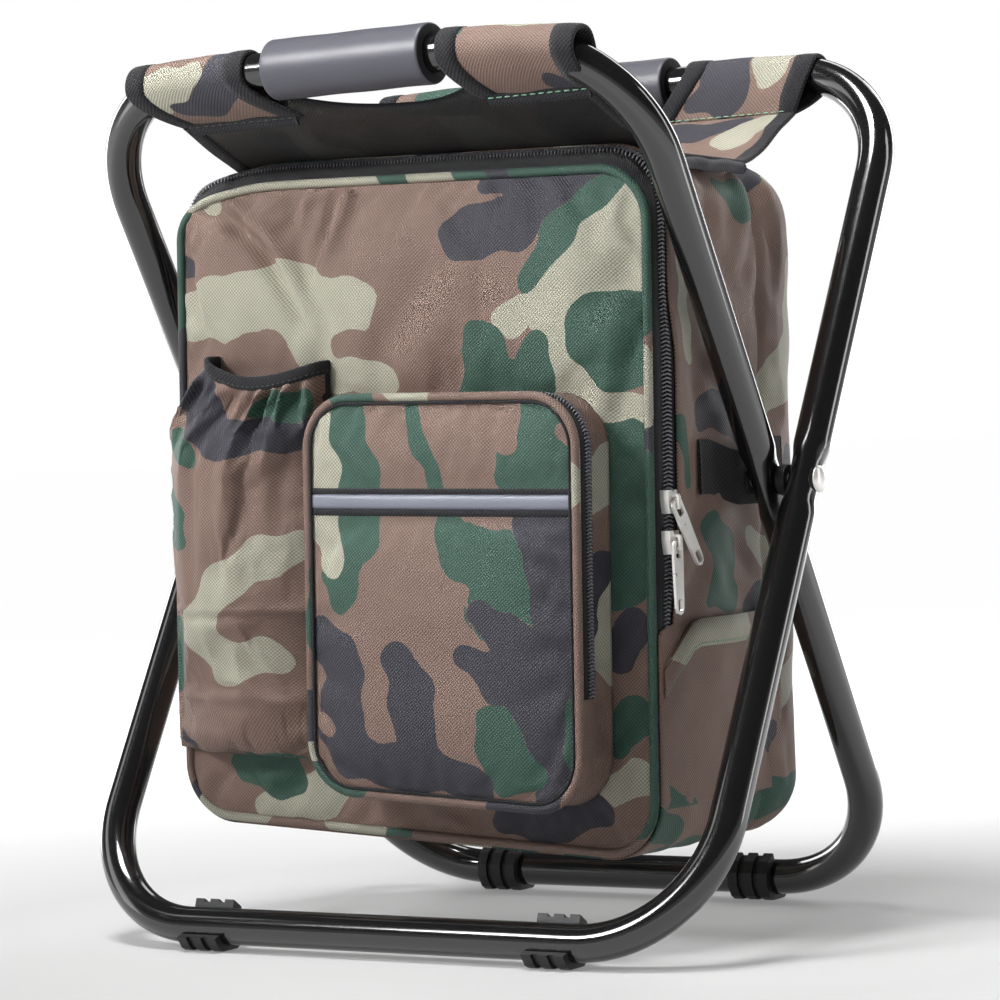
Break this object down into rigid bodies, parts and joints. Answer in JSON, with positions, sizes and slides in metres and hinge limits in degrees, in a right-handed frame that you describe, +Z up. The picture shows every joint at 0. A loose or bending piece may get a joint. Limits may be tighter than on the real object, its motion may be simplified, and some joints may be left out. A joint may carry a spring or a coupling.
{
  "type": "folding cooler stool",
  "caption": "Folding stool of two crossed tubular steel loops with a cloth seat sling and a zipped insulated bag with pockets hung between the legs",
  "frame": {"origin": "on the floor, midway between the four feet, under the crossing of the legs", "axes": "+X to the right as seen from the front, -Y the front with the flap and pockets, +Z up"},
  "size_m": [0.3702, 0.2668, 0.4398],
  "materials": {
    "black_tube": "glossy black stoved paint on round steel tube",
    "foam_grip": "smooth dark grey foam rubber",
    "foot_plastic": "black moulded plastic",
    "nickel": "bright nickel plating",
    "camouflage_cloth": "woodland camouflage printed oxford weave",
    "piping_cloth": "cloth-covered cord in the same print",
    "black_webbing": "black ribbed webbing and tape",
    "foam": "closed-cell insulating foam sheet",
    "foil_liner": "silvery wipe-clean film",
    "reflective_tape": "grey reflective tape"
  },
  "bodies": {
    "outer_frame": {"outer_frame_tube": "black_tube", "outer_joint_sleeve": "black_tube", "rear_grip": "foam_grip", "rear_left_rail_sleeve": "camouflage_cloth", "rear_right_rail_sleeve": "camouflage_cloth", "left_pivot_rivet": "nickel", "right_pivot_rivet": "nickel", "left_leg_spacer": "nickel", "right_leg_spacer": "nickel", "left_pivot_washer": "nickel", "right_pivot_washer": "nickel", "front_left_foot": "foot_plastic", "front_right_foot": "foot_plastic"},
    "inner_frame": {"inner_frame_tube": "black_tube", "inner_joint_sleeve": "black_tube", "front_grip": "foam_grip", "front_left_rail_sleeve": "camouflage_cloth", "front_right_rail_sleeve": "camouflage_cloth", "rear_left_foot": "foot_plastic", "rear_right_foot": "foot_plastic"},
    "bag": {"bag_shell": "camouflage_cloth", "bag_insulation": "foam", "bag_liner": "foil_liner", "lower_front_panel": "camouflage_cloth", "lower_piping": "piping_cloth", "bag_zip_tape": "black_webbing", "seat_sling": "camouflage_cloth", "left_side_pocket": "camouflage_cloth", "right_side_pocket": "camouflage_cloth", "left_pivot_band": "black_webbing", "right_pivot_band": "black_webbing", "left_shoulder_pad": "camouflage_cloth", "right_shoulder_pad": "camouflage_cloth", "left_strap_buckle": "foot_plastic", "right_strap_buckle": "foot_plastic", "left_strap_tail": "black_webbing", "right_strap_tail": "black_webbing"},
    "flap": {"front_flap": "camouflage_cloth", "flap_piping": "piping_cloth", "flap_zip_tape": "black_webbing", "front_pocket": "camouflage_cloth", "pocket_piping": "piping_cloth", "reflective_strip": "reflective_tape", "bottle_pocket": "camouflage_cloth", "bottle_pocket_elastic": "black_webbing"},
    "upper_zip_slider": {"upper_zip_slider": "nickel"},
    "upper_zip_pull": {"upper_zip_pull": "nickel"},
    "lower_zip_slider": {"lower_zip_slider": "nickel"},
    "lower_zip_pull": {"lower_zip_pull": "nickel"},
    "pocket_zip_slider": {"pocket_zip_slider": "nickel"},
    "pocket_zip_pull": {"pocket_zip_pull": "nickel"}
  },
  "joints": [
    {"name": "frame_fold", "type": "hinge", "parent": "outer_frame", "child": "inner_frame", "pos_m": [0, 0, 0.21935], "axis": [-1, 0, 0], "range_deg": [0, 52], "deforming": ["seat_sling"]},
    {"name": "bag_swing", "type": "hinge", "parent": "outer_frame", "child": "bag", "pos_m": [0, 0, 0.21935], "axis": [-1, 0, 0], "range_deg": [0, 26]},
    {"name": "flap_open", "type": "hinge", "parent": "bag", "child": "flap", "pos_m": [0, -0.08, 0.156], "axis": [1, 0, 0], "range_deg": [0, 75], "deforming": ["front_pocket", "pocket_piping", "bottle_pocket"]},
    {"name": "upper_zip_slide", "type": "slide", "parent": "bag", "child": "upper_zip_slider", "axis": [0, 0, 1], "range_m": [0, 0.085]},
    {"name": "upper_pull_swing", "type": "hinge", "parent": "upper_zip_slider", "child": "upper_zip_pull", "pos_m": [0.14305, -0.06905, 0.212], "axis": [0, -0.8988, -0.4384], "range_deg": [0, 150]},
    {"name": "lower_zip_slide", "type": "slide", "parent": "bag", "child": "lower_zip_slider", "axis": [0, 0, 1], "range_m": [-0.03, 0.002]},
    {"name": "lower_pull_swing", "type": "hinge", "parent": "lower_zip_slider", "child": "lower_zip_pull", "pos_m": [0.14305, -0.06905, 0.193], "axis": [0, -1, 0], "range_deg": [0, 90]},
    {"name": "pocket_zip_slide", "type": "slide", "parent": "flap", "child": "pocket_zip_slider", "axis": [0, 0, 1], "range_m": [0, 0.025]},
    {"name": "pocket_pull_swing", "type": "hinge", "parent": "pocket_zip_slider", "child": "pocket_zip_pull", "pos_m": [-0.04032, -0.101, 0.202], "axis": [0, 1, 0], "range_deg": [0, 15]}
  ],
  "couplings": [
    {"joint": "bag_swing", "follows": "frame_fold", "ratio": 0.5}
  ]
}
